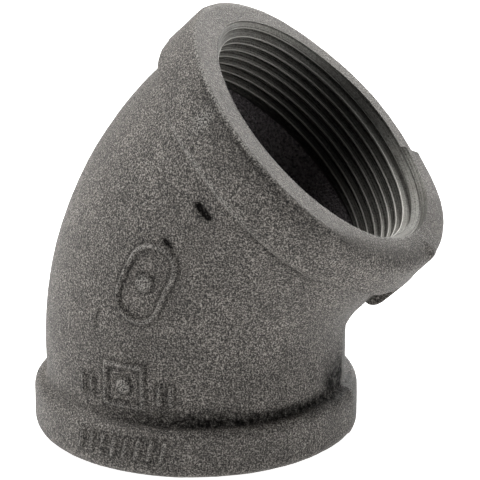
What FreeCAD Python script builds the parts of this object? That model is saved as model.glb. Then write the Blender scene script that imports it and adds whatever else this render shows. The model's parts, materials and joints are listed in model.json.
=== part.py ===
import FreeCAD, Part
import math
import os

# 45 degree pipe elbow, nominal 2 inch, female pipe thread at both ends, malleable iron, class 150 pattern.
# The real elbow is one casting. It is written here as three regions of that casting, which meet face to
# face on the two planes where the bend begins and ends: lower_socket, bend and upper_socket.
#
# Frame, in millimetres: the origin is the centre of the lower end face, +Z runs up the lower port's axis,
# and the upper port leans from +Z towards +X. The bend lies in the XZ plane.

BEND_ANGLE = 45.0  # degrees between the two port axes
CENTRE_TO_END = 42.67  # from the meeting point of the two axes to each end face
BEND_RADIUS = 48.6  # of the centreline

BAND_RADIUS = 38.1  # the thick collar round each port
BAND_WIDTH = 13.2
BAND_FACE_ROUND = 2.4  # outer edge of the end face
BAND_BACK_ROUND = 2.6  # edge of the collar next to the body
BODY_RADIUS = 34.8
WALL_THICKNESS = 4.4

THREAD_WALL_RADIUS = 28.178  # tap drill for a 2 inch taper pipe thread, 2 7/32 inch across
MOUTH_RADIUS = 30.6  # outer edge of the lead-in chamfer, on the end face

CORE_RADIUS = BODY_RADIUS - WALL_THICKNESS
TANGENT = BEND_RADIUS * math.tan(math.radians(BEND_ANGLE / 2))
SOCKET_LENGTH = CENTRE_TO_END - TANGENT  # from an end face to the start of the bend


def vector(x, y, z):
    return FreeCAD.Vector(x, y, z)


def quarter_round(start, centre, end):
    """The arc about centre from start to end, each given as (radius, height)."""
    size = math.hypot(start[0] - centre[0], start[1] - centre[1])
    across = start[0] + end[0] - 2 * centre[0]
    along = start[1] + end[1] - 2 * centre[1]
    reach = size / math.hypot(across, along)
    middle = (centre[0] + across * reach, centre[1] + along * reach)
    return Part.Arc(*[vector(r, 0, h) for r, h in (start, middle, end)]).toShape()


def straight(start, end):
    return Part.LineSegment(vector(start[0], 0, start[1]), vector(end[0], 0, end[1])).toShape()


def socket():
    """One threaded end, with its end face at the origin and the casting running up +Z to the bend."""
    chamfer = MOUTH_RADIUS - THREAD_WALL_RADIUS
    shoulder = CORE_RADIUS - THREAD_WALL_RADIUS
    root_round = BAND_RADIUS - BAND_BACK_ROUND - BODY_RADIUS

    mouth = (MOUTH_RADIUS, 0)
    wall_start = (THREAD_WALL_RADIUS, chamfer)
    wall_end = (THREAD_WALL_RADIUS, SOCKET_LENGTH - shoulder)
    core = (CORE_RADIUS, SOCKET_LENGTH)
    body_top = (BODY_RADIUS, SOCKET_LENGTH)
    body_foot = (BODY_RADIUS, BAND_WIDTH + root_round)
    ledge = (BAND_RADIUS - BAND_BACK_ROUND, BAND_WIDTH)
    band_back = (BAND_RADIUS, BAND_WIDTH - BAND_BACK_ROUND)
    band_front = (BAND_RADIUS, BAND_FACE_ROUND)
    face_edge = (BAND_RADIUS - BAND_FACE_ROUND, 0)

    outline = [
        straight(mouth, wall_start),
        straight(wall_start, wall_end),
        straight(wall_end, core),
        straight(core, body_top),
        straight(body_top, body_foot),
        quarter_round(body_foot, (ledge[0], body_foot[1]), ledge),
        quarter_round(ledge, (ledge[0], band_back[1]), band_back),
        straight(band_back, band_front),
        quarter_round(band_front, (face_edge[0], band_front[1]), face_edge),
        straight(face_edge, mouth),
    ]
    profile = Part.Face(Part.Wire(outline))
    return profile.revolve(vector(0, 0, 0), vector(0, 0, 1), 360)


def lower_socket():
    return socket()


def upper_socket():
    """The same socket on the leaning axis, turned to point back at the bend."""
    turn = math.radians(BEND_ANGLE)
    lean = vector(math.sin(turn), 0, math.cos(turn))
    end_face = vector(0, 0, CENTRE_TO_END) + lean * CENTRE_TO_END
    shape = socket()
    shape.Placement = FreeCAD.Placement(end_face, FreeCAD.Rotation(vector(0, 0, 1), lean * -1))
    return shape


def bend():
    """A round tube swept through the bend angle."""
    start = vector(0, 0, SOCKET_LENGTH)
    body, core = [
        Part.Face(Part.Wire(Part.Circle(start, vector(0, 0, 1), radius).toShape()))
        for radius in (BODY_RADIUS, CORE_RADIUS)
    ]
    section = body.cut(core).Faces[0]
    return section.revolve(vector(BEND_RADIUS, 0, SOCKET_LENGTH), vector(0, 1, 0), BEND_ANGLE)


def export(name, shape):
    print(f"{name}: {shape.ShapeType}, valid {shape.isValid()}, {shape.Volume / 1000:.2f} cm3")
    shape.exportStep(f"parts/{name}.step")


os.makedirs("parts", exist_ok=True)
export("lower_socket", lower_socket())
export("bend", bend())
export("upper_socket", upper_socket())
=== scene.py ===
import json
import math

import bmesh
import bpy
import numpy as np
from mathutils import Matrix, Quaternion, Vector, noise


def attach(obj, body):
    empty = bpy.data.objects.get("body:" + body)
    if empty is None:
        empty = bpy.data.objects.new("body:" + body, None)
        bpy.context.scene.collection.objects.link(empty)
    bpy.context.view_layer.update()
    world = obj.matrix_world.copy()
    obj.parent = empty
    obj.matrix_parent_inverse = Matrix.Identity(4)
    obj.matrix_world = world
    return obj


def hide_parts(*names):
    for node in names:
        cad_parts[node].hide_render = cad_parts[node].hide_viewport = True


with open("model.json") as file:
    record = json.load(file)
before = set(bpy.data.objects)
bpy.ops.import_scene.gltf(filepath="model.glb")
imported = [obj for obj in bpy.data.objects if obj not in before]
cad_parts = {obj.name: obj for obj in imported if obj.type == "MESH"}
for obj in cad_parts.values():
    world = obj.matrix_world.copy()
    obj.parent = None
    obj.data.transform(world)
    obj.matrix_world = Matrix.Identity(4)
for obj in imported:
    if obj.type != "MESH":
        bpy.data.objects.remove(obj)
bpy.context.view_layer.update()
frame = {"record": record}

# A 45 degree malleable iron pipe elbow. Lengths are in millimetres until a mesh is written, in metres.
# The lower port's axis is +Z, the upper port leans from it towards +X, and the bend lies in the XZ plane.
# "Around" is the angle about a port axis in degrees: 0 is the crotch side (+X), 90 the rear half (+Y),
# 180 the back of the bend and 270 the front half (-Y). "Depth" runs from an end face into the casting.

MM = 0.001
HALF_BEND = math.radians(22.5)
LEAN = math.tan(HALF_BEND)

mounts = {m["name"]: m for m in frame["record"]["mounts"]}
REACH = mounts["upper_end_face"]["pos_m"][0] / math.sin(2 * HALF_BEND) / MM  # nominal centre to end
THREAD_RADIUS = mounts["lower_port"]["dims"]["r_mm"]  # tap drill

# The skin as cast. It is a little smaller than nominal, and stays inside the nominal sizes.
LOWER_REACH = 41.7
UPPER_REACH = 42.3
LOWER_FACE_HEIGHT = 0.65
BAND_RADIUS = 37.35
BODY_RADIUS = 34.4
CROTCH_CURVE = 13.9  # radius of the bend along its inside
BACK_CURVE = 88.7  # and along its outside
FOOT_ROUND = 1.0  # fillet between the collar's ledge and the body
MITRE_HEIGHT = LOWER_FACE_HEIGHT + LOWER_REACH

# The bore as machined, on the nominal axes.
MOUTH_RADIUS = 30.6
CORE_RADIUS = 30.4
BEND_RADIUS = 48.6
PITCH = 25.4 / 11.5
THREAD_DEPTH = 1.767
CREST_HALF = 0.06  # half the width of a crest's flat, as a share of the pitch
ROOT_HALF = 0.03  # and of a root's
TAPER = 1 / 32  # of the radius along the thread
THREAD_END = 20.4  # depth where the thread runs out into the cored waterway
RECESS_DEPTH = 0.9  # of the nearly straight wall between the end face and the lead-in cone
# The mouth's edge gets the painted highlight of the crests.
LIP = 0.12  # depth of the bright edge of the mouth

# Two short scars: around, length from the upper mouth, length, width and depth.
SCARS = (
    (262.4, 26.5, 3.2, 0.75, 0.5),
    (261.3, 37.9, 1.8, 0.75, 0.3),
)

# How many rings of the mesh each stretch of the skin takes, from the mouth to the mitre plane.
FACE_STEPS = 14
RIM_STEPS = 8
SIDE_STEPS = 19
BACK_STEPS = 8
LEDGE_STEPS = 2
FOOT_STEPS = 5
BODY_STEPS = 66
RIM_ROW = FACE_STEPS + RIM_STEPS // 2
BACK_ROW = FACE_STEPS + RIM_STEPS + SIDE_STEPS + BACK_STEPS // 2
FOOT_ROW = FACE_STEPS + RIM_STEPS + SIDE_STEPS + BACK_STEPS + LEDGE_STEPS + FOOT_STEPS
MITRE_ROW = FOOT_ROW + BODY_STEPS

CAST, MACHINED, CORED = range(3)  # material numbers on the mesh
SHADES = ("soot", "pale", "ground", "highlight_and_wear", "turned", "crest")  # values on the mesh's points


def ease(x, low, high):
    """0 below low, 1 above high and smooth in between."""
    t = np.clip((x - low) / (high - low), 0.0, 1.0)
    return t * t * (3 - 2 * t)


def hump(x, middle, width):
    return np.exp(-(((x - middle) / width) ** 2))


def window(x, low, high, soft):
    """1 between low and high, with soft shoulders."""
    return ease(x, low - soft / 2, low + soft / 2) * (1 - ease(x, high - soft / 2, high + soft / 2))


def signed(around):
    """An angle in degrees, from -180 up to 180."""
    return (around + 180) % 360 - 180


def columns():
    """The angles of the mesh columns: closer together at the parting plane and on the marked front."""
    stretches = [
        (0, 3, 9),
        (3, 54, 35),
        (54, 61, 11),
        (61, 177, 66),
        (177, 183, 15),
        (183, 238, 32),
        (238, 286, 80),
        (286, 357, 53),
        (357, 360, 9),
    ]
    return np.concatenate([np.linspace(a, b, n, endpoint=False) for a, b, n in stretches])


AROUND = columns()
PHI = np.radians(AROUND)
SIDE = signed(AROUND)


def rear_share():
    """1 on the rear half of the casting, 0 on the front half, with the step at the parting plane."""
    return ease(SIDE, -0.35, 0.35) * (1 - ease(AROUND, 179.65, 180.35))


REAR = rear_share()


def lower_end():
    """The lower collar's sizes for each column. Its rim is crisp on the rear half next to the crotch."""
    one = np.ones_like(PHI)
    crisp = REAR * (1 - ease(SIDE, 10, 50))
    return {
        "reach": LOWER_REACH,
        "width": 11.3 * one,
        "face_round": (2.3 - 1.0 * crisp, 2.3 - 1.0 * crisp),
        "back_round": (2.4 * one, 1.9 * one),
        "face": 0 * one,
    }


def upper_end():
    """The upper collar's sizes for each column. The broken-off stub of the gate stands proud of the face
    on the rear half, and under it a pad widens the collar as far as the crotch. On the front half the rim
    is worn down next to the crotch."""
    one = np.ones_like(PHI)
    stub = ease(SIDE, -38, 18) * (1 - ease(SIDE, 57, 59.5))
    worn = ease(SIDE, -72, -40) * (1 - ease(SIDE, -5, -2.5))
    crisp = window(AROUND, 185, 306, 20)
    pad = REAR * (1 - ease(SIDE, 20, 48)) * ease(SIDE, -1, 0)
    near_crotch = window(SIDE, -50, 0, 14) * (1 - REAR)
    sloping = window(AROUND, 238, 318, 24)
    return {
        "reach": UPPER_REACH,
        "width": 13.4 - 1.4 * near_crotch + 6.8 * pad,
        "face_round": (2.2 - 1.5 * crisp + 3.3 * worn, 2.2 - 1.4 * crisp + 1.3 * worn),
        "back_round": (1.4 + 1.9 * sloping + 1.6 * pad, 1.9 * one),
        "face": -stub * (1.15 + 0.65 * hump(SIDE, 28, 20)) - 0.4 * window(SIDE, 62, 100, 30),
    }


def quarter_turn(count):
    """Angles of a quarter turn, without its start."""
    return np.linspace(0, math.pi / 2, count + 1)[1:]


def shares(count):
    """Fractions up to 1, without 0."""
    return np.linspace(0, 1, count + 1)[1:]


def ring(radius, depth):
    return np.stack([radius * np.cos(PHI), radius * np.sin(PHI), depth * np.ones_like(PHI)], -1)


def collar_profile(end):
    """(depth, radius) of each ring from the rim of the end face to the start of the body."""
    face, width = end["face"], end["width"]
    across, along = end["face_round"]
    back_along, back_across = end["back_round"]
    rim = BAND_RADIUS - across
    foot = BODY_RADIUS + FOOT_ROUND
    profile = []
    for a in quarter_turn(RIM_STEPS):
        profile.append((face + along * (1 - math.cos(a)), rim + across * math.sin(a)))
    for share in shares(SIDE_STEPS):
        profile.append((face + along + (width - back_along - face - along) * share, BAND_RADIUS))
    for a in quarter_turn(BACK_STEPS):
        radius = BAND_RADIUS - back_across * (1 - math.cos(a))
        profile.append((width - back_along * (1 - math.sin(a)), radius))
    for share in shares(LEDGE_STEPS):
        profile.append((width, BAND_RADIUS - back_across + (foot - BAND_RADIUS + back_across) * share))
    for a in quarter_turn(FOOT_STEPS):
        profile.append((width + FOOT_ROUND * (1 - math.cos(a)), foot - FOOT_ROUND * math.sin(a)))
    return profile


def body_rings(end):
    """The body: straight lines along the port axis, then arcs, each in a plane parallel to XZ."""
    x0 = BODY_RADIUS * np.cos(PHI)
    curve = (CROTCH_CURVE + BACK_CURVE) / 2 - (BACK_CURVE - CROTCH_CURVE) / 2 * np.cos(PHI)
    start = end["width"] + FOOT_ROUND
    straight = end["reach"] - (x0 + curve) * LEAN - start
    rings = []
    for share in shares(BODY_STEPS):
        run = share * (straight + curve * HALF_BEND)
        turn = np.clip(run - straight, 0, None) / curve
        x = x0 + curve * (1 - np.cos(turn))
        z = start + np.minimum(run, straight) + curve * np.sin(turn)
        rings.append(np.stack([x, BODY_RADIUS * np.sin(PHI), z], -1))
    return rings


def skin_rings(end, mouth):
    """Rings of points from the mouth edge over the end face, the collar and the body to the mitre plane,
    with the origin in the middle of the end face and depth along z."""
    rim = ring(BAND_RADIUS - end["face_round"][0], end["face"])
    rings = [mouth + (rim - mouth) * share for share in np.linspace(0, 1, FACE_STEPS + 1)]
    rings += [ring(radius, depth) for depth, radius in collar_profile(end)]
    return np.array(rings + body_rings(end))


def mirrored(points, height):
    """Points of the lower port's frame carried over to the upper port: mirrored in the mitre plane, which
    crosses the lower axis at this height."""
    normal = np.array([math.sin(HALF_BEND), 0, math.cos(HALF_BEND)])
    distance = (points - np.array([0, 0, height])) @ normal
    return points - 2 * distance[..., None] * normal


def runs(skin):
    """Lengths along each column: from the lower mouth, from the mitre plane and from the upper mouth."""
    steps = np.linalg.norm(np.diff(skin, axis=0), axis=-1)
    run = np.concatenate([np.zeros((1, len(PHI))), np.cumsum(steps, axis=0)])
    return run, run - run[MITRE_ROW], run[-1] - run


def across_from(around, radius):
    """The length round the casting from this angle, for each column."""
    return np.radians(SIDE - signed(around)) * radius * np.ones((2 * MITRE_ROW + 1, 1))


# Raised marks. Each is given as the distance from its nearest stroke, at a place on the surface in
# millimetres, u to the right and v upwards.


def bar(u, v, length):
    return np.hypot(u, np.clip(np.abs(v) - length / 2, 0, None))


def upright_mark(u, v):
    """A tall outline with round ends, and a round boss in its middle."""
    outline = np.abs(bar(u, v, 8.0) - 5.2)
    boss = np.clip(np.hypot(u, v) - 1.5, 0, None)
    return np.minimum(outline, boss)


def lower_mark(u, v):
    """A square outline with a round boss in it, and short upright bars on both sides."""
    square = np.abs(np.maximum(np.abs(u), np.abs(v)) - 4.6)
    boss = np.clip(np.hypot(u, v) - 1.3, 0, None)
    bars = [bar(u - place, v + 1.4, 3.8) for place in (-11.0, -8.4, 8.4, 11.0)]
    return np.minimum.reduce([square, boss, *bars])


def collar_marks(u, v):
    """A row of short slanted bars."""
    return np.minimum.reduce([bar(u - 0.25 * v - 2.9 * (i - 3.5), v, 4.0) for i in range(8)])


def from_marks(run, from_mitre):
    """The distance from the nearest stroke, on the front of the casting."""
    body = across_from(261, BODY_RADIUS)
    collar = across_from(261.5, BAND_RADIUS)
    distance = np.minimum(upright_mark(body, from_mitre - 2.3), lower_mark(body, run - 27.4))
    return np.minimum(distance, collar_marks(collar, run - 12.4))


def gouges(run, from_top):
    """The scars, which follow the collar's edge: how deep the skin is there."""
    deep = 0 * run
    for around, place, length, width, depth in SCARS:
        u = across_from(around, BODY_RADIUS)
        past_end = np.clip(np.abs(u) - length / 2, 0, None)
        deep = deep + depth * hump(np.hypot(past_end, from_top - place), 0, width)
    return deep


def waves(points, size, offset):
    """A smooth noise between about -0.6 and 0.6, with waves of this size, for each point."""
    flat = points.reshape(-1, 3) / size + offset
    return np.array([noise.noise(Vector(p)) for p in flat]).reshape(points.shape[:-1])


def unevenness(points):
    """The waviness of the sand mould."""
    return 0.08 * waves(points, 11, 3) + 0.05 * waves(points, 3.2, 17) + 0.05 * waves(points, 1.25, 41)


def outward(skin):
    """The unit normal at each point of the skin."""
    around = np.roll(skin, -1, 1) - np.roll(skin, 1, 1)
    along = np.gradient(skin, axis=0)
    normal = np.cross(around, along)
    return normal / np.linalg.norm(normal, axis=-1, keepdims=True)


def flash(rows):
    """The ground-down fin on the parting plane: how far it stands out."""
    last = 2 * MITRE_ROW
    upper = ease(rows, MITRE_ROW - 10, MITRE_ROW + 30)
    off_lower_rim = ease(rows, RIM_ROW, RIM_ROW + 10)
    off_upper_rim = 1 - ease(rows, last - RIM_ROW - 22, last - RIM_ROW - 10)
    crotch = (0.15 + 0.28 * upper) * hump(SIDE + 0.8, 0, 2.6)
    back = 0.15 * upper * hump(AROUND, 180, 1.6)
    return off_lower_rim * off_upper_rim * (crotch + back)


def swelling(rows):
    """Where the body is a little fuller than its arcs: on the inside and on the outside of the bend."""
    upper_foot = 2 * MITRE_ROW - FOOT_ROW
    body = ease(rows, FOOT_ROW, FOOT_ROW + 12) * (1 - ease(rows, upper_foot - 12, upper_foot))
    return body * (0.25 * hump(SIDE, 0, 40) + 0.12 * window(AROUND, 165, 240, 30))


def mismatch(rows):
    """How far the rear half of the mould was shifted against the front half."""
    share = ease(rows, 0, 2 * MITRE_ROW)
    shift = np.stack([-0.6 + 0.2 * share, 0 * share, -0.5 + 0.3 * share], -1)
    return REAR[None, :, None] * shift


def build_skin():
    """The cast skin from the lower mouth to the upper mouth, the depth of each mouth in its nominal port,
    and the shades that the material uses."""
    lower, upper = lower_end(), upper_end()
    drop = REACH - MITRE_HEIGHT
    lower_depth = LOWER_FACE_HEIGHT + lower["face"]
    upper_depth = REACH - UPPER_REACH + upper["face"] + drop * math.cos(2 * HALF_BEND)

    lower_mouth = ring(lead_in(lower_depth), lower["face"])
    upper_mouth = ring(lead_in(upper_depth), upper["face"])
    upper_mouth[:, 0] -= drop * math.sin(2 * HALF_BEND)
    bottom = skin_rings(lower, lower_mouth) + np.array([0, 0, LOWER_FACE_HEIGHT])
    top = skin_rings(upper, upper_mouth) + np.array([0, 0, MITRE_HEIGHT - UPPER_REACH])
    top = mirrored(top, MITRE_HEIGHT)
    skin = np.concatenate([bottom, top[::-1][1:]])

    run, from_mitre, from_top = runs(skin)
    rows = np.arange(len(skin))[:, None]
    strokes = from_marks(run, from_mitre) + 0.15 * waves(skin, 1.6, 7)
    relief = 0.75 * (1 - ease(strokes, 0.15, 0.7))
    relief = relief - gouges(run, from_top) + flash(rows) + swelling(rows) + unevenness(skin)
    machined_edge = (rows == 0) | (rows == len(skin) - 1)
    relief = np.where(machined_edge, 0, relief)
    shift = np.where(machined_edge[..., None], 0, mismatch(rows))
    shaped = skin + relief[..., None] * outward(skin) + shift
    return shaped, lower_depth, upper_depth, shades(run, from_top, strokes)


def shades(run, from_top, strokes):
    """How much painted shade and smudge, how pale the end faces are painted as light, how ground and how
    much painted highlight and wear the skin has at each point, from 0 to 1.
    """
    rows = np.arange(len(run))[:, None]
    last = len(run) - 1
    foot = run - run[FOOT_ROW]
    top_foot = from_top - from_top[last - FOOT_ROW]
    under_rim = from_top - from_top[last - RIM_ROW]

    lower_half = rows < MITRE_ROW
    height = 5.0 - 2.6 * ease(SIDE, -66, -44)
    ledge = ease(foot, -2.4, -0.6) * (1 - ease(foot, 0.5, height)) * lower_half
    corner = ease(SIDE, -19, -13) * (1 - ease(SIDE, -2, 0)) * hump(foot, 2, 6) * lower_half
    below_rim = 0.4 * ease(under_rim, 0.2, 1.2) * (1 - ease(under_rim, 2.0, 7.0))
    below_rim = below_rim + 0.35 * hump(under_rim, 0.9, 0.5)
    worn_rim = ease(under_rim, -4.5, -1.0) * (1 - ease(under_rim, -0.2, 0.6))
    gate_step = hump(SIDE, 0, 0.7) * window(from_top, 14, 28, 3)
    smudge = hump(across_from(246.7, BODY_RADIUS), 0, 0.9) * hump(run, 41.8, 2.6)
    # Darker places: most are painted shade or painted shadow, one is a real smudge.
    shade_and_smudge_parts = (
        # painted shade in the crease above the lower collar's ledge, under the overhang
        ledge * ease(SIDE, -124, -72) * (1 - ease(SIDE, -6, 2)),
        # painted shadow in the step beside the parting plane above the lower collar
        1.2 * corner,
        # a darker band just below the upper rim on the front
        below_rim * window(SIDE, -136, -66, 24),
        # painted shade on the sloping, worn-down rim next to the crotch
        0.3 * worn_rim * window(SIDE, -62, -2, 16),
        # painted shade in the crease at the foot of the upper collar
        0.6 * hump(top_foot, -0.3, 0.8) * window(SIDE, -84, -20, 20),
        # painted shadow on the step of the pad at the parting plane
        0.4 * gate_step,
        # a real smudge on the body
        0.8 * smudge,
        # painted shade just around the raised marks
        0.65 * window(strokes, 0.6, 1.2, 0.5),
        # painted shade in the scars
        np.clip(gouges(run, from_top) * 5, 0, 1.5),
    )
    soot = np.maximum.reduce(np.broadcast_arrays(*shade_and_smudge_parts))

    # Painted light: the end faces are made paler, less so on the upper face where it dips near the
    # crotch.
    pale = (1 - ease(under_rim, -0.6, 0.4)) * (1 - 0.4 * window(SIDE, -48, 70, 40))
    pale = np.maximum(pale, (run < run[RIM_ROW]) * 1.0)
    between_rims = ease(rows, RIM_ROW, RIM_ROW + 6) * (rows < last - RIM_ROW - 30)
    ground = window(SIDE, -0.2, 14, 1.0) * between_rims
    # Painted highlights along the upper rim's edge, the upper collar's back edge and the mouth's edge; a
    # real scuff; lighter raised marks.
    rim_edge = hump(under_rim, 0, 0.4) * window(SIDE, -165, -90, 30)
    back_edge = hump(from_top - from_top[last - BACK_ROW], 0, 0.7) * window(SIDE, -130, -80, 30)
    scuff = hump(across_from(240, BAND_RADIUS), 0, 1.3) * hump(under_rim, 5, 3)
    mouth_edge = (1 - ease(from_top, 0.3, 0.8)) * window(SIDE, -70, 75, 20)
    on_marks = 1 - ease(strokes, 0.1, 0.5)
    highlight_and_wear = np.maximum.reduce([0.8 * rim_edge, 0.6 * back_edge, 0.9 * scuff, mouth_edge, 0.55 * on_marks])
    size = run.shape
    return {name: np.broadcast_to(v, size) for name, v in zip(SHADES, (soot, pale, ground, highlight_and_wear))}


def lead_in(depth):
    """The radius of the machined mouth: a nearly straight wall and then a cone."""
    wall = MOUTH_RADIUS - 0.15 * depth
    cone = MOUTH_RADIUS - 0.35 - (depth - RECESS_DEPTH)
    return np.where(depth < RECESS_DEPTH, wall, cone)


def thread_rings(mouth_depth, hand):
    """The machined bore of one port on its nominal axis, from the mouth to the cored waterway. The lines
    of the mesh follow the helix, so every crest and root is an unbroken edge. Every second column is
    used, and the last column lies on the first, one full turn later. Also gives how far each point is
    from the helix, and which points are on a crest or on the edge of the mouth."""
    phi = np.append(PHI[::2], 2 * math.pi)
    mouth = np.append(mouth_depth[::2], mouth_depth[0])
    helix = hand * PITCH * phi / (2 * math.pi)
    corners = (-CREST_HALF, CREST_HALF, 0.27, 0.5 - ROOT_HALF, 0.5 + ROOT_HALF, 0.73)
    turns = range(-3, math.ceil(THREAD_END / PITCH) + 2)
    lines = np.array([(turn + corner) * PITCH for turn in turns for corner in corners])
    depth = np.clip(lines[:, None] + helix, mouth, THREAD_END)
    wall_end = np.maximum(mouth + 2 * LIP, RECESS_DEPTH - 0.01)
    cone_start = np.maximum(mouth + 2 * LIP + 0.02, RECESS_DEPTH)
    depth = np.sort(np.concatenate([[mouth, mouth + LIP, wall_end, cone_start], depth]), axis=0)

    phase = (depth - helix) / PITCH
    from_crest = np.abs(phase - np.round(phase)) * 2  # 0 on a crest, 1 on a root
    flank = np.clip((from_crest - 2 * CREST_HALF) / (1 - 2 * ROOT_HALF - 2 * CREST_HALF), 0, 1)
    cut = THREAD_RADIUS + 0.1 - TAPER * depth + THREAD_DEPTH * flank
    radius = np.maximum(cut, lead_in(depth))
    radius = np.maximum(radius, CORE_RADIUS - 1.2 * (THREAD_END - depth))
    # Points on a crest flat or on the mouth's edge, which get a painted highlight in the material.
    crest = ((flank < 0.05) & (radius == cut)) | (depth < mouth + LIP - 0.02)
    points = np.stack([radius * np.cos(phi), radius * np.sin(phi), depth], -1)
    return points, depth - helix, crest


def core_rings():
    """The cored waterway between the two threads, on the nominal centreline."""
    phi = np.append(PHI[::2], 0)
    tangent = REACH - BEND_RADIUS * LEAN
    reach = BEND_RADIUS - CORE_RADIUS * np.cos(phi)
    side = CORE_RADIUS * np.sin(phi)
    start = np.stack([BEND_RADIUS - reach, side, THREAD_END * np.ones_like(phi)], -1)
    rings = [start]
    for turn in np.linspace(0, 2 * HALF_BEND, 17):
        x = BEND_RADIUS - reach * math.cos(turn)
        z = tangent + reach * math.sin(turn)
        rings.append(np.stack([x, side, z], -1))
    rings.append(mirrored(start, REACH))
    return np.array(rings)


class Shell:
    """Collects grids of points, their faces and their shades for one closed mesh."""

    def __init__(self):
        self.points = []
        self.shades = []
        self.faces = []
        self.materials = []
        self.count = 0

    def add(self, grid, **shades):
        """Adds a grid of points and gives back the numbers of its vertices."""
        shape = grid.shape[:2]
        numbers = self.count + np.arange(shape[0] * shape[1]).reshape(shape)
        self.points.append(grid.reshape(-1, 3))
        self.shades.append([np.broadcast_to(shades.get(name, 0.0), shape).ravel() for name in SHADES])
        self.count = numbers.max() + 1
        return numbers

    def quads(self, numbers, material):
        a, b = numbers[:-1, :-1], numbers[1:, :-1]
        c, d = numbers[1:, 1:], numbers[:-1, 1:]
        made = np.stack([a, b, c, d], -1).reshape(-1, 4).tolist()
        self.faces += made
        self.materials += [material] * len(made)

    def fan(self, coarse, fine, material):
        """Joins a ring to one with twice as many points."""
        for i in range(len(coarse)):
            here, there = coarse[i], coarse[(i + 1) % len(coarse)]
            left, middle, right = fine[2 * i], fine[2 * i + 1], fine[(2 * i + 2) % len(fine)]
            self.faces += [[here, left, middle], [here, middle, there], [there, middle, right]]
            self.materials += [material] * 3


def build_shell():
    """The whole casting: skin outside, bore inside, joined at the two mouths."""
    shell = Shell()
    skin, lower_depth, upper_depth, shade = build_skin()
    numbers = shell.add(skin[1:-1], **{name: values[1:-1] for name, values in shade.items()})
    shell.quads(np.column_stack([numbers, numbers[:, 0]]), CAST)

    # Painted shade that darkens the bore's rear wall.
    bore_shade = 0.62 * window(np.append(AROUND[::2], 360), 52, 128, 50)  # it blackens the rear wall
    lower, turned, crest = thread_rings(lower_depth, 1)
    lower_bore = shell.add(lower, turned=turned, crest=crest, soot=bore_shade)
    upper, turned, crest = thread_rings(upper_depth, -1)
    upper_bore = shell.add(mirrored(upper, REACH), turned=turned, crest=crest, soot=bore_shade)
    for bore, edge in ((lower_bore, numbers[0]), (upper_bore, numbers[-1])):
        shell.quads(bore, MACHINED)
        shell.fan(bore[0, :-1], edge, CAST)
    shell.quads(shell.add(core_rings()), CORED)
    return shell


def weld(mesh):
    """Merges the vertices that lie on each other and points every face outwards."""
    work = bmesh.new()
    work.from_mesh(mesh)
    bmesh.ops.remove_doubles(work, verts=work.verts, dist=2e-6)
    bmesh.ops.dissolve_degenerate(work, edges=work.edges, dist=1e-7)
    bmesh.ops.recalc_face_normals(work, faces=work.faces)
    work.to_mesh(mesh)
    work.free()


def casting():
    shell = build_shell()
    mesh = bpy.data.meshes.new("elbow_casting")
    mesh.from_pydata((np.concatenate(shell.points) * MM).tolist(), [], shell.faces)
    mesh.polygons.foreach_set("material_index", shell.materials)
    for name, parts in zip(SHADES, zip(*shell.shades)):
        values = np.concatenate(parts).astype(np.float32)
        shade = mesh.attributes.new(name, "FLOAT", "POINT")
        shade.data.foreach_set("value", values)
    weld(mesh)
    for material in (cast_iron(), machined_iron(), cored_iron()):
        mesh.materials.append(material)
    mesh.polygons.foreach_set("use_smooth", [True] * len(mesh.polygons))
    mesh.set_sharp_from_angle(angle=math.radians(38))
    piece = bpy.data.objects.new("elbow_casting", mesh)
    bpy.context.scene.collection.objects.link(piece)
    return piece


# Materials. Their patterns are in object coordinates, in metres.


def node_material(name):
    material = bpy.data.materials.new(name)
    material.use_nodes = True
    tree = material.node_tree
    tree.nodes.clear()
    output = tree.nodes.new("ShaderNodeOutputMaterial")
    shader = tree.nodes.new("ShaderNodeBsdfPrincipled")
    tree.links.new(shader.outputs["BSDF"], output.inputs["Surface"])
    return material, tree, shader


def spread(tree, source, low, high):
    """0 where the source is at low, 1 where it is at high."""
    node = tree.nodes.new("ShaderNodeMapRange")
    node.inputs["From Min"].default_value = low
    node.inputs["From Max"].default_value = high
    tree.links.new(source, node.inputs["Value"])
    return node.outputs["Result"]


def noise_of(tree, size_mm, detail, contrast=(0.0, 1.0)):
    """A noise whose lumps are about this size, stretched so that contrast's two values become 0 and 1."""
    coordinates = tree.nodes.new("ShaderNodeTexCoord")
    node = tree.nodes.new("ShaderNodeTexNoise")
    node.inputs["Scale"].default_value = 1 / (size_mm * MM)
    node.inputs["Detail"].default_value = detail
    node.inputs["Roughness"].default_value = 0.6
    tree.links.new(coordinates.outputs["Object"], node.inputs["Vector"])
    return spread(tree, node.outputs["Fac"], *contrast)


def shade_of(tree, name):
    node = tree.nodes.new("ShaderNodeAttribute")
    node.attribute_name = name
    return node.outputs["Fac"]


def combine(tree, operation, first, second):
    """A Math node; each operand is a socket or a number."""
    node = tree.nodes.new("ShaderNodeMath")
    node.operation = operation
    node.use_clamp = operation != "SUBTRACT"
    for socket, value in zip(node.inputs, (first, second)):
        if isinstance(value, (int, float)):
            socket.default_value = value
        else:
            tree.links.new(value, socket)
    return node.outputs["Value"]


def ramp(tree, source, *stops):
    """A colour ramp through (position, colour) stops."""
    node = tree.nodes.new("ShaderNodeValToRGB")
    elements = node.color_ramp.elements
    while len(elements) < len(stops):
        elements.new(1.0)
    for element, (position, colour) in zip(elements, stops):
        element.position = position
        element.color = (*colour, 1)
    tree.links.new(source, node.inputs["Fac"])
    return node.outputs["Color"]


def mix(tree, share, first, second):
    """first where share is 0 and second where it is 1; second may be a colour."""
    node = tree.nodes.new("ShaderNodeMix")
    node.data_type = "RGBA"
    tree.links.new(share, node.inputs["Factor"])
    for socket, value in ((node.inputs["A"], first), (node.inputs["B"], second)):
        if isinstance(value, tuple):
            socket.default_value = (*value, 1)
        else:
            tree.links.new(value, socket)
    return node.outputs["Result"]


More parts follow.
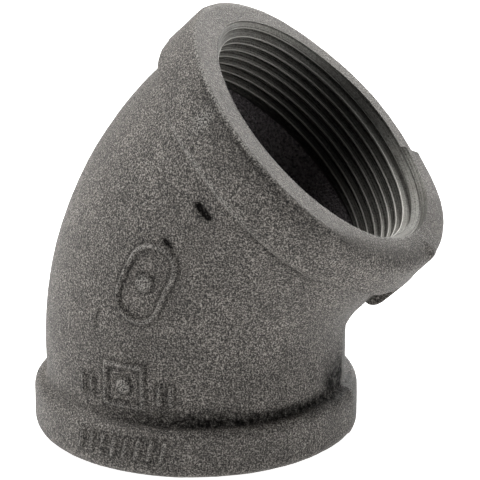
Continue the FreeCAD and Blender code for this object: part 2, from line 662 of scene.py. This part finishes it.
def dim(tree, colour, share):
    """The colour made darker by this share."""
    return mix(tree, share, colour, (0, 0, 0))


def bump(tree, shader, height, tall_mm, strength=1.0):
    node = tree.nodes.new("ShaderNodeBump")
    node.inputs["Distance"].default_value = tall_mm * MM
    node.inputs["Strength"].default_value = strength
    tree.links.new(height, node.inputs["Height"])
    tree.links.new(node.outputs["Normal"], shader.inputs["Normal"])


def cast_iron():
    material, tree, shader = node_material("cast_iron_black")
    grain = noise_of(tree, 0.34, 1, (0.28, 0.72))
    lumps = noise_of(tree, 1.2, 2, (0.3, 0.7))
    cloud = noise_of(tree, 9, 3, (0.35, 0.65))
    pits = noise_of(tree, 0.8, 0, (0.27, 0.2))
    colour = ramp(
        tree,
        grain,
        (0.1, (0.005, 0.0042, 0.0036)),
        (0.5, (0.091, 0.082, 0.073)),
        (0.9, (0.35, 0.326, 0.297)),
    )
    colour = dim(tree, colour, combine(tree, "MULTIPLY", cloud, 0.25))
    colour = dim(tree, colour, combine(tree, "MULTIPLY", lumps, 0.2))
    colour = dim(tree, colour, combine(tree, "MULTIPLY", pits, 0.6))
    ground = combine(tree, "MULTIPLY", shade_of(tree, "ground"), 0.5)
    colour = mix(tree, ground, colour, (0.062, 0.065, 0.058))
    # Painted light: the end faces are paler.
    pale = combine(tree, "MULTIPLY", shade_of(tree, "pale"), 0.24)
    colour = mix(tree, pale, colour, (0.4, 0.38, 0.35))
    # Painted shade and a real smudge: darker and less glossy, in ragged patches.
    ragged = combine(tree, "ADD", combine(tree, "MULTIPLY", lumps, 0.6), 0.5)
    soot = combine(tree, "MULTIPLY", shade_of(tree, "soot"), ragged)
    colour = dim(tree, colour, combine(tree, "MULTIPLY", soot, 0.94))
    gloss = combine(tree, "SUBTRACT", 0.3, combine(tree, "MULTIPLY", soot, 0.27))
    tree.links.new(gloss, shader.inputs["Specular IOR Level"])
    # Lighter specks: painted highlights along the rims and edges, real wear on a scuff, and lighter
    # raised marks.
    speck = combine(tree, "GREATER_THAN", grain, 0.5)
    worn = combine(tree, "MULTIPLY", shade_of(tree, "highlight_and_wear"), speck)
    colour = mix(tree, combine(tree, "MULTIPLY", worn, 0.6), colour, (0.38, 0.37, 0.345))
    tree.links.new(colour, shader.inputs["Base Color"])
    roughness = combine(tree, "ADD", combine(tree, "MULTIPLY", grain, 0.2), 0.55)
    tree.links.new(roughness, shader.inputs["Roughness"])
    bump(tree, shader, grain, 0.18)
    return material


def machined_iron():
    """Cut metal with fine turning lines that follow the thread's helix, and a painted highlight on the
    crests and the mouth's edge.
    """
    material, tree, shader = node_material("machined_iron")
    lines = tree.nodes.new("ShaderNodeTexNoise")
    lines.noise_dimensions = "1D"
    lines.inputs["Scale"].default_value = 5.0  # per millimetre
    lines.inputs["Detail"].default_value = 1.0
    tree.links.new(shade_of(tree, "turned"), lines.inputs["W"])
    torn = noise_of(tree, 0.4, 2, (0.3, 0.7))
    cloud = noise_of(tree, 6, 2, (0.35, 0.65))
    cut = combine(tree, "MULTIPLY", lines.outputs["Fac"], 0.7)
    height = combine(tree, "ADD", cut, combine(tree, "MULTIPLY", torn, 0.3))
    colour = ramp(tree, height, (0.3, (0.015, 0.014, 0.012)), (0.68, (0.28, 0.276, 0.252)))
    colour = mix(tree, combine(tree, "MULTIPLY", cloud, 0.4), colour, (0.1, 0.086, 0.075))
    # Painted highlight: the crest flats and the mouth's edge are much lighter.
    crest = combine(tree, "GREATER_THAN", shade_of(tree, "crest"), 0.9)
    colour = mix(tree, combine(tree, "MULTIPLY", crest, 0.85), colour, (0.62, 0.6, 0.56))
    # Painted shade on the bore's rear wall.
    colour = dim(tree, colour, shade_of(tree, "soot"))
    tree.links.new(colour, shader.inputs["Base Color"])
    shader.inputs["Metallic"].default_value = 0.7
    roughness = combine(tree, "ADD", combine(tree, "MULTIPLY", torn, 0.2), 0.38)
    tree.links.new(roughness, shader.inputs["Roughness"])
    bump(tree, shader, height, 0.06)
    return material


def cored_iron():
    material, tree, shader = node_material("cored_iron")
    grain = noise_of(tree, 0.6, 3, (0.3, 0.7))
    colour = ramp(tree, grain, (0.0, (0.02, 0.017, 0.018)), (1.0, (0.3, 0.27, 0.28)))
    tree.links.new(colour, shader.inputs["Base Color"])
    shader.inputs["Roughness"].default_value = 0.75
    bump(tree, shader, grain, 0.4)
    return material


def floor():
    """A plain pale floor that glows like a light table, except where the lower port stands on it."""
    bpy.ops.mesh.primitive_plane_add(size=30, location=(0, 0, 0))
    plane = bpy.context.object
    plane.name = "floor"
    material, tree, shader = node_material("floor_white")
    shader.inputs["Base Color"].default_value = (0.6, 0.6, 0.6, 1)
    shader.inputs["Roughness"].default_value = 0.9
    shader.inputs["Specular IOR Level"].default_value = 0.0
    coordinates = tree.nodes.new("ShaderNodeTexCoord")
    distance = tree.nodes.new("ShaderNodeVectorMath")
    distance.operation = "LENGTH"
    tree.links.new(coordinates.outputs["Object"], distance.inputs[0])
    outside = combine(tree, "GREATER_THAN", distance.outputs["Value"], 34 * MM)
    shader.inputs["Emission Color"].default_value = (1, 1, 1, 1)
    tree.links.new(outside, shader.inputs["Emission Strength"])
    plane.data.materials.append(material)


def softbox(name, azimuth, elevation, power):
    """A square area light that looks at the elbow. Azimuth 0 is on the -Y side and 90 on the +X side."""
    light = bpy.data.lights.new(name, "AREA")
    light.size = 0.45
    light.energy = power
    a, e = math.radians(azimuth), math.radians(elevation)
    towards = Vector((math.sin(a) * math.cos(e), -math.cos(a) * math.cos(e), math.sin(e)))
    lamp = bpy.data.objects.new(name, light)
    lamp.location = Vector((0.01, 0, 0.05)) + towards * 0.8
    lamp.rotation_mode = "QUATERNION"
    lamp.rotation_quaternion = towards.to_track_quat("Z", "Y")
    bpy.context.scene.collection.objects.link(lamp)


def studio():
    """A dim room that is pale along the horizon behind and to the left, with softboxes to the left, over
    the top and behind, and a weak one to the right."""
    scene = bpy.context.scene
    world = bpy.data.worlds.new("studio")
    scene.world = world
    world.use_nodes = True
    tree = world.node_tree
    background = tree.nodes["Background"]
    direction = tree.nodes.new("ShaderNodeTexCoord")
    parts = tree.nodes.new("ShaderNodeSeparateXYZ")
    tree.links.new(direction.outputs["Generated"], parts.inputs["Vector"])
    low = spread(tree, parts.outputs["Z"], 0.3, 0.0)
    behind = combine(tree, "SUBTRACT", parts.outputs["Y"], parts.outputs["X"])
    horizon = combine(tree, "MULTIPLY", low, spread(tree, behind, -0.2, 0.8))
    strength = combine(tree, "ADD", combine(tree, "MULTIPLY", horizon, 0.8), 0.05)
    tree.links.new(strength, background.inputs["Strength"])
    background.inputs["Color"].default_value = (1, 1, 1, 1)
    scene.view_settings.view_transform = "Standard"
    softbox("left_softbox", -100, 45, 4.7)
    softbox("front_left_softbox", -65, 45, 2.5)
    softbox("top_left_softbox", -90, 70, 3.5)
    softbox("rear_right_softbox", 145, 45, 2.2)
    softbox("rear_low_softbox", 180, 12, 3.5)
    softbox("rear_softbox", 180, 45, 1.8)
    softbox("right_softbox", 85, 12, 1.0)


def camera():
    """A long lens, 600 mm from the elbow, slightly above it and to the right of the front. It looks at a
    point in the upper half of the elbow and is rolled by less than half a degree."""
    place = Vector((185.12, -536.88, 238.07))
    target = Vector((9.68, 2.99, 43.47))
    roll = math.radians(-0.466)
    data = bpy.data.cameras.new("camera")
    data.lens = 198.67
    data.sensor_width = 36
    data.clip_start = 0.01
    data.clip_end = 100
    viewer = bpy.data.objects.new("camera", data)
    viewer.location = place * MM
    viewer.rotation_mode = "QUATERNION"
    viewer.rotation_quaternion = (place - target).to_track_quat("Z", "Y") @ Quaternion((0, 0, 1), roll)
    bpy.context.scene.collection.objects.link(viewer)
    bpy.context.scene.camera = viewer


piece = casting()
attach(piece, "root")
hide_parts("lower_socket", "bend", "upper_socket")
floor()
studio()
camera()
